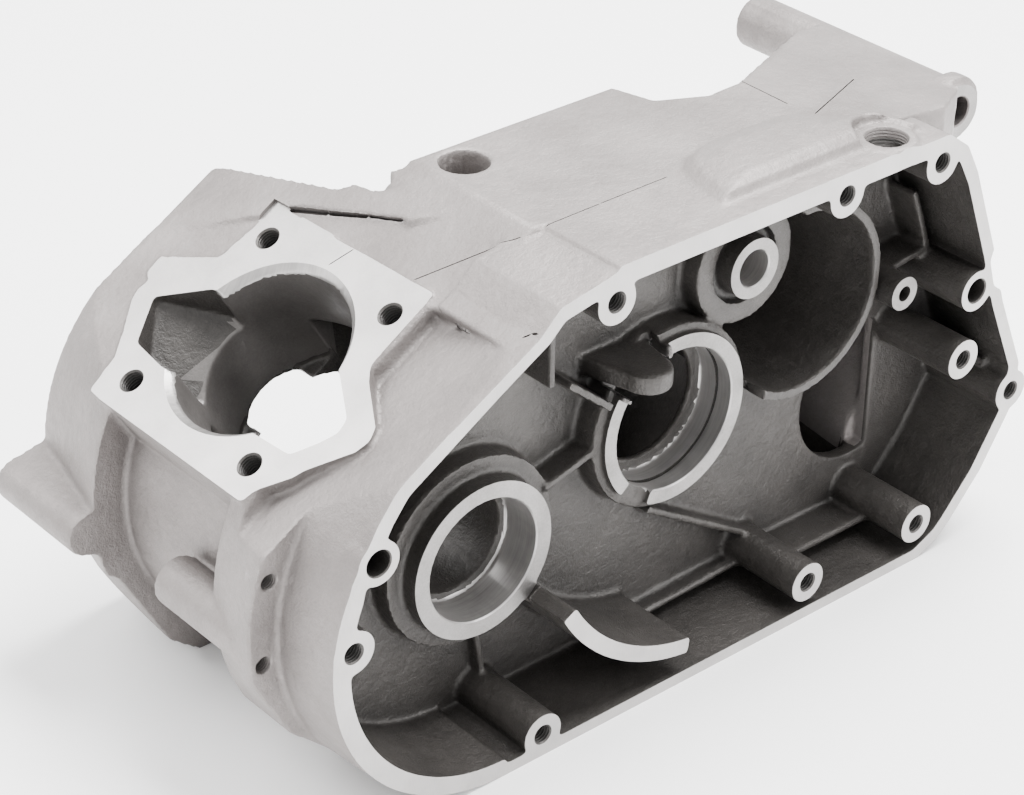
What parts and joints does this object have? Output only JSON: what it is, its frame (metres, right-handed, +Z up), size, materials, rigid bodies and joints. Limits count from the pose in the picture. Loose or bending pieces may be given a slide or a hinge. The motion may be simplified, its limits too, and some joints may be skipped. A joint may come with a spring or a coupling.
{
  "type": "engine crankcase",
  "caption": "Cast crankcase of a small two-stroke engine: clutch compartment, bearing seats, leaning cylinder face, generator drum and rear mounting tube.",
  "frame": {"origin": "the crankshaft's axis where it crosses the plane of the cover flange", "axes": "+Y along the crankshaft from the cover flange into the casting, +X to the rear, +Z up"},
  "size_m": [0.2992, 0.149, 0.1612],
  "materials": {
    "casting": "satin"
  },
  "bodies": {
    "root": {"crankcase": "casting"}
  },
  "joints": []
}
